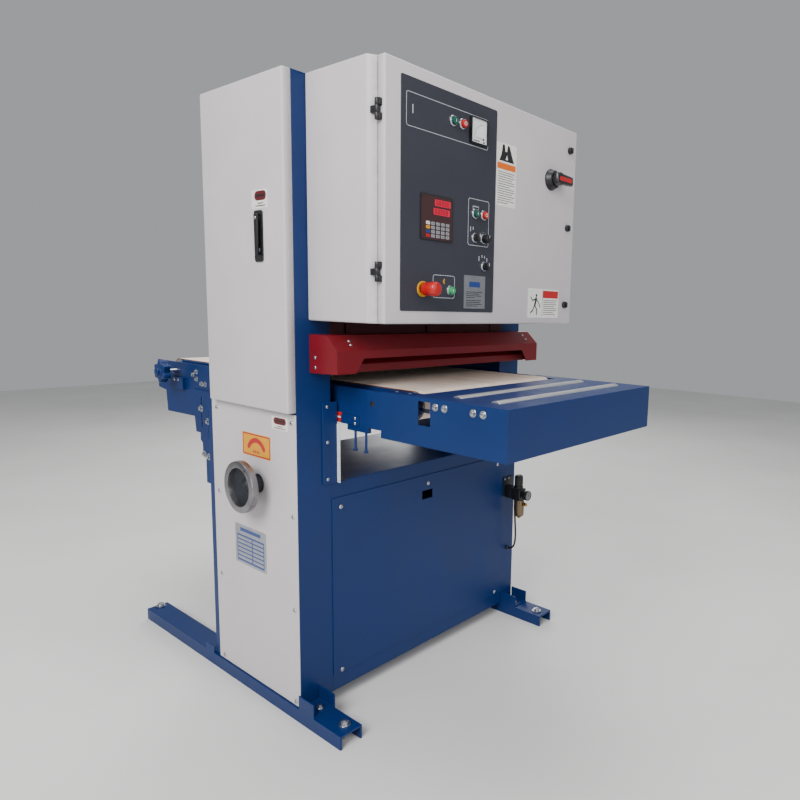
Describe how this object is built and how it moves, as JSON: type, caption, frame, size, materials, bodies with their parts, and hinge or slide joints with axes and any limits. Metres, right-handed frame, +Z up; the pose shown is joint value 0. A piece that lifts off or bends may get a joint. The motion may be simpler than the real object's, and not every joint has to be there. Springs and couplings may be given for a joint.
{
  "type": "wide-belt drum sander",
  "caption": "Floor-standing wide-belt drum sander with rubber contact drum, powered feed table, red infeed guard and a control cabinet over the infeed.",
  "frame": {"origin": "on the floor, at the middle of the machine's overall length and width", "axes": "+Z up, -Y towards the infeed side where the operator stands, +X to the right seen from the infeed side"},
  "size_m": [1.232, 1.896, 1.95],
  "materials": {
    "blue_paint": "satin powder coat",
    "light_paint": "satin powder coat",
    "red_paint": "satin enamel",
    "dark_red_paint": "satin enamel",
    "dark_paint": "matt powder coat",
    "bright_steel": "turned and zinc plated",
    "black_plastic": "moulded",
    "red_plastic": "moulded, gloss",
    "green_plastic": "moulded, gloss",
    "drum_rubber": "ground rubber covering",
    "sanding_cloth": "coated abrasive cloth",
    "feed_belt": "rough top rubber",
    "drive_rubber": "moulded",
    "motor_paint": "painted casting",
    "cast_grey": "painted casting",
    "gear_parts": "moulded"
  },
  "bodies": {
    "frame": {"base_frame": "blue_paint", "left_column": "blue_paint", "right_column": "blue_paint", "head_beam": "dark_paint", "foot_rails": "blue_paint", "frame_covers": "blue_paint", "side_panel": "light_paint", "frame_screws": "bright_steel", "rear_cover": "blue_paint", "drive_guard": "light_paint", "main_motor": "motor_paint", "drive_belt": "drive_rubber", "sanding_belt": "sanding_cloth", "enclosure": "light_paint", "control_gear": "gear_parts", "infeed_hood": "red_paint", "head_plate": "dark_red_paint", "lift_drive": "cast_grey", "air_regulator": "black_plastic", "air_tube": "black_plastic"},
    "elec_door": {"elec_door": "light_paint", "control_panel": "dark_paint", "door_fittings": "black_plastic", "meter": "black_plastic"},
    "table": {"table_frame": "blue_paint", "infeed_extension": "blue_paint", "conveyor_belt": "feed_belt", "gear_motor": "motor_paint"},
    "side_door": {"side_door": "light_paint"},
    "door_handle": {"door_handle": "black_plastic"},
    "disconnect_handle": {"disconnect_handle": "black_plastic"},
    "latch_top": {"latch_top": "black_plastic"},
    "latch_middle": {"latch_middle": "black_plastic"},
    "latch_low": {"latch_low": "black_plastic"},
    "meter_needle": {"meter_needle": "black_plastic"},
    "start_button": {"start_button": "green_plastic"},
    "stop_button": {"stop_button": "red_plastic"},
    "feed_start_button": {"feed_start_button": "green_plastic"},
    "feed_stop_button": {"feed_stop_button": "red_plastic"},
    "reset_button": {"reset_button": "green_plastic"},
    "feed_selector": {"feed_selector": "black_plastic"},
    "mode_selector": {"mode_selector": "black_plastic"},
    "speed_knob": {"speed_knob": "black_plastic"},
    "estop_button": {"estop_button": "red_plastic"},
    "drive_roller": {"drive_roller": "bright_steel"},
    "tension_roller": {"tension_roller": "bright_steel"},
    "idler_roller_rear": {"idler_roller_rear": "bright_steel"},
    "idler_roller_front": {"idler_roller_front": "bright_steel"},
    "star_knob": {"star_knob": "blue_paint"},
    "handwheel": {"handwheel": "bright_steel"},
    "lift_screw_left": {"lift_screw_left": "bright_steel"},
    "lift_screw_right": {"lift_screw_right": "bright_steel"},
    "contact_drum": {"contact_drum": "drum_rubber"},
    "motor_pulley": {"motor_pulley": "bright_steel"},
    "tension_yoke": {"tension_yoke": "dark_paint"},
    "upper_roller": {"upper_roller": "bright_steel"},
    "pressure_roller_front": {"pressure_roller_front": "drum_rubber"},
    "pressure_roller_rear": {"pressure_roller_rear": "drum_rubber"},
    "infeed_bar": {"infeed_bar": "red_paint"},
    "regulator_knob": {"regulator_knob": "black_plastic"}
  },
  "joints": [
    {"name": "handwheel_turn", "type": "hinge", "parent": "frame", "child": "handwheel", "pos_m": [-0.6, -0.065, 0.736], "axis": [-1, 0, 0], "range_deg": [-8435, 2385]},
    {"name": "table_lift", "type": "slide", "parent": "frame", "child": "table", "axis": [0, 0, 1], "range_m": [-0.117, 0.033]},
    {"name": "lift_screw_left_turn", "type": "hinge", "parent": "frame", "child": "lift_screw_left", "pos_m": [-0.48, 0, 0.5], "axis": [0, 0, 1], "range_deg": [-4218, 1193]},
    {"name": "lift_screw_right_turn", "type": "hinge", "parent": "frame", "child": "lift_screw_right", "pos_m": [0.48, 0, 0.5], "axis": [0, 0, 1], "range_deg": [-4218, 1193]},
    {"name": "side_door_swing", "type": "hinge", "parent": "frame", "child": "side_door", "pos_m": [-0.547, 0.178, 1.468], "axis": [0, 0, -1], "range_deg": [0, 110]},
    {"name": "door_handle_turn", "type": "hinge", "parent": "side_door", "child": "door_handle", "pos_m": [-0.571, -0.147, 1.552], "axis": [1, 0, 0], "range_deg": [0, 90]},
    {"name": "elec_door_swing", "type": "hinge", "parent": "frame", "child": "elec_door", "pos_m": [-0.489, -0.569, 1.605], "axis": [0, 0, -1], "range_deg": [0, 110]},
    {"name": "latch_top_turn", "type": "hinge", "parent": "elec_door", "child": "latch_top", "pos_m": [0.392, -0.588, 1.874], "axis": [0, 1, 0], "range_deg": [0, 90]},
    {"name": "latch_middle_turn", "type": "hinge", "parent": "elec_door", "child": "latch_middle", "pos_m": [0.392, -0.588, 1.604], "axis": [0, 1, 0], "range_deg": [0, 90]},
    {"name": "latch_low_turn", "type": "hinge", "parent": "elec_door", "child": "latch_low", "pos_m": [0.392, -0.588, 1.329], "axis": [0, 1, 0], "range_deg": [0, 90]},
    {"name": "disconnect_turn", "type": "hinge", "parent": "elec_door", "child": "disconnect_handle", "pos_m": [0.28, -0.61, 1.756], "axis": [0, 1, 0], "range_deg": [-90, 0]},
    {"name": "meter_needle_swing", "type": "hinge", "parent": "elec_door", "child": "meter_needle", "pos_m": [-0.096, -0.6, 1.81], "axis": [0, 1, 0], "range_deg": [0, 90], "stiffness_Nm_per_rad": 0.002},
    {"name": "start_button_push", "type": "slide", "parent": "elec_door", "child": "start_button", "axis": [0, 1, 0], "range_m": [0, 0.004], "stiffness_N_per_m": 400},
    {"name": "stop_button_push", "type": "slide", "parent": "elec_door", "child": "stop_button", "axis": [0, 1, 0], "range_m": [0, 0.004], "stiffness_N_per_m": 400},
    {"name": "feed_start_button_push", "type": "slide", "parent": "elec_door", "child": "feed_start_button", "axis": [0, 1, 0], "range_m": [0, 0.004], "stiffness_N_per_m": 400},
    {"name": "feed_stop_button_push", "type": "slide", "parent": "elec_door", "child": "feed_stop_button", "axis": [0, 1, 0], "range_m": [0, 0.004], "stiffness_N_per_m": 400},
    {"name": "reset_button_push", "type": "slide", "parent": "elec_door", "child": "reset_button", "axis": [0, 1, 0], "range_m": [0, 0.004], "stiffness_N_per_m": 400},
    {"name": "estop_push", "type": "slide", "parent": "elec_door", "child": "estop_button", "axis": [0, 1, 0], "range_m": [0, 0.006]},
    {"name": "feed_selector_turn", "type": "hinge", "parent": "elec_door", "child": "feed_selector", "pos_m": [-0.122, -0.6, 1.52], "axis": [0, 1, 0], "range_deg": [-45, 45]},
    {"name": "mode_selector_turn", "type": "hinge", "parent": "elec_door", "child": "mode_selector", "pos_m": [-0.076, -0.6, 1.437], "axis": [0, 1, 0], "range_deg": [-45, 45]},
    {"name": "speed_knob_turn", "type": "hinge", "parent": "elec_door", "child": "speed_knob", "pos_m": [-0.082, -0.6, 1.52], "axis": [0, 1, 0], "range_deg": [-150, 150]},
    {"name": "drive_roller_spin", "type": "hinge", "parent": "table", "child": "drive_roller", "pos_m": [0, 0.8805, 1.0202], "axis": [1, 0, 0], "continuous": true},
    {"name": "tension_roller_spin", "type": "hinge", "parent": "table", "child": "tension_roller", "pos_m": [0, -0.5495, 1.0202], "axis": [1, 0, 0], "continuous": true},
    {"name": "idler_roller_rear_spin", "type": "hinge", "parent": "table", "child": "idler_roller_rear", "pos_m": [0, -0.715, 1.0405], "axis": [1, 0, 0], "continuous": true},
    {"name": "idler_roller_front_spin", "type": "hinge", "parent": "table", "child": "idler_roller_front", "pos_m": [0, -0.851, 1.0405], "axis": [1, 0, 0], "continuous": true},
    {"name": "star_knob_turn", "type": "hinge", "parent": "table", "child": "star_knob", "pos_m": [-0.45, 0.762, 1.024], "axis": [1, 0, 0], "range_deg": [-720, 720]},
    {"name": "contact_drum_spin", "type": "hinge", "parent": "frame", "child": "contact_drum", "pos_m": [0, -0.048, 1.19], "axis": [1, 0, 0], "continuous": true},
    {"name": "motor_pulley_spin", "type": "hinge", "parent": "frame", "child": "motor_pulley", "pos_m": [0.5, -0.048, 0.33], "axis": [1, 0, 0], "continuous": true},
    {"name": "belt_tension", "type": "slide", "parent": "frame", "child": "tension_yoke", "axis": [0, 0, 1], "range_m": [-0.015, 0]},
    {"name": "upper_roller_spin", "type": "hinge", "parent": "tension_yoke", "child": "upper_roller", "pos_m": [0, -0.048, 1.716], "axis": [1, 0, 0], "continuous": true},
    {"name": "pressure_roller_front_spin", "type": "hinge", "parent": "frame", "child": "pressure_roller_front", "pos_m": [0, -0.173, 1.129], "axis": [1, 0, 0], "continuous": true},
    {"name": "pressure_roller_rear_spin", "type": "hinge", "parent": "frame", "child": "pressure_roller_rear", "pos_m": [0, 0.077, 1.129], "axis": [1, 0, 0], "continuous": true},
    {"name": "infeed_bar_tilt", "type": "hinge", "parent": "frame", "child": "infeed_bar", "pos_m": [0, -0.3, 1.16], "axis": [1, 0, 0], "range_deg": [0, 8], "stiffness_Nm_per_rad": 20, "springref_deg": -5.73},
    {"name": "regulator_knob_turn", "type": "hinge", "parent": "frame", "child": "regulator_knob", "pos_m": [0.495, -0.332, 0.59], "axis": [0, 0, 1], "range_deg": [-720, 720]}
  ],
  "couplings": [
    {"joint": "handwheel_turn", "follows": "table_lift", "rad_per_m": 1256.6},
    {"joint": "lift_screw_left_turn", "follows": "table_lift", "rad_per_m": 628.32},
    {"joint": "lift_screw_right_turn", "follows": "table_lift", "rad_per_m": 628.32},
    {"joint": "tension_roller_spin", "follows": "drive_roller_spin", "ratio": 1},
    {"joint": "motor_pulley_spin", "follows": "contact_drum_spin", "ratio": 0.73333},
    {"joint": "upper_roller_spin", "follows": "contact_drum_spin", "ratio": 1.4833}
  ]
}
